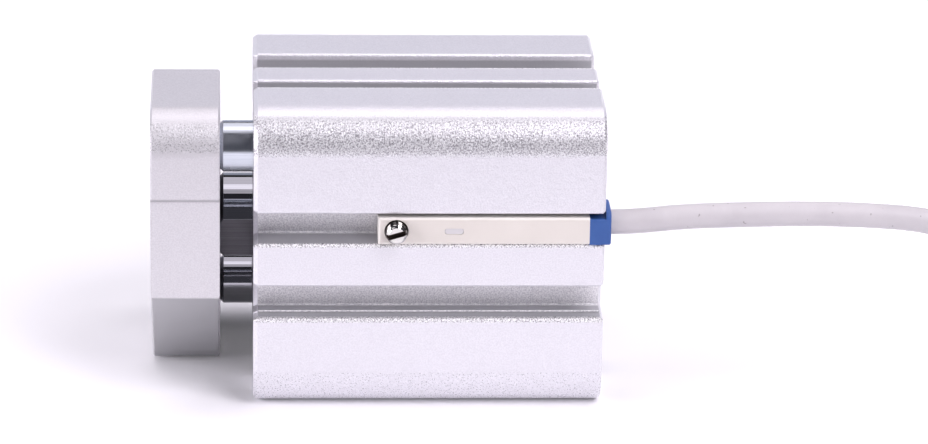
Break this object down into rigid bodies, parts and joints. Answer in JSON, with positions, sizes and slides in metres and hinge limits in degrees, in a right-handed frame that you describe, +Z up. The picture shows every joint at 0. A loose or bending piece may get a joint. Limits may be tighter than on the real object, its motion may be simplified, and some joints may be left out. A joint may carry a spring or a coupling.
{
  "type": "guided compact air cylinder",
  "caption": "Square air cylinder whose rod and diagonal guide rods push a flat tooling plate out straight, with a cabled position switch clamped in a side slot.",
  "frame": {"origin": "under the middle of the cylinder and plate, on the surface that the cylinder lies on; the free cable and its boot aren't counted", "axes": "+X from the tooling plate to the rear end, along the rod; -Y is the side with the switch; +Z up"},
  "size_m": [0.1431, 0.0445, 0.036],
  "materials": {
    "body_anodised": "bead-blasted satin clear anodising",
    "plate_anodised": "satin clear anodising, machined faces",
    "cover_alloy": "turned",
    "bronze": "sintered",
    "seal_rubber": "moulded",
    "bumper_rubber": "moulded",
    "ring_steel": "phosphated spring steel",
    "rod_chrome": "hard chromed and ground",
    "screw_steel": "black oxide",
    "magnet": "bonded magnet",
    "wear_plastic": "moulded",
    "switch_plastic": "smooth moulded",
    "boot_blue": "moulded",
    "lens_clear": "translucent",
    "board": "solder mask",
    "clamp_nickel": "nickel plated",
    "cable_jacket": "matte flexible jacket",
    "tie_plastic": "nylon",
    "core_brown": "gloss insulation",
    "core_blue": "gloss insulation"
  },
  "bodies": {
    "barrel": {"cylinder_body": "body_anodised", "rod_cover": "cover_alloy", "rod_bush": "bronze", "rod_seal": "seal_rubber", "rod_cover_oring": "seal_rubber", "front_retaining_ring": "ring_steel", "head_cover": "cover_alloy", "head_cover_oring": "seal_rubber", "rear_retaining_ring": "ring_steel", "front_bumper": "bumper_rubber", "rear_bumper": "bumper_rubber", "upper_front_bush": "bronze", "upper_rear_bush": "bronze", "lower_front_bush": "bronze", "lower_rear_bush": "bronze"},
    "carriage": {"tooling_plate": "plate_anodised", "piston_rod": "rod_chrome", "upper_guide_rod": "rod_chrome", "lower_guide_rod": "rod_chrome", "piston": "cover_alloy", "magnet_ring": "magnet", "piston_seal": "seal_rubber", "wear_ring": "wear_plastic", "piston_screw": "screw_steel", "rod_screw": "screw_steel", "upper_guide_screw": "screw_steel", "lower_guide_screw": "screw_steel"},
    "switch": {"switch_housing": "switch_plastic", "switch_boot": "boot_blue", "switch_lens": "lens_clear", "sensor_board": "board", "cable_lead": "cable_jacket", "cable_coil": "cable_jacket", "cable_ties": "tie_plastic", "brown_lead": "core_brown", "blue_lead": "core_blue"},
    "clamp": {"clamp_screw": "clamp_nickel"}
  },
  "joints": [
    {"name": "rod_slide", "type": "slide", "parent": "barrel", "child": "carriage", "axis": [-1, 0, 0], "range_m": [0, 0.01]},
    {"name": "switch_slide", "type": "slide", "parent": "barrel", "child": "switch", "axis": [1, 0, 0], "range_m": [0, 0.01]},
    {"name": "clamp_turn", "type": "hinge", "parent": "switch", "child": "clamp", "pos_m": [0.00211, -0.018, 0.02203], "axis": [0, 1, 0], "range_deg": [-180, 0]}
  ]
}
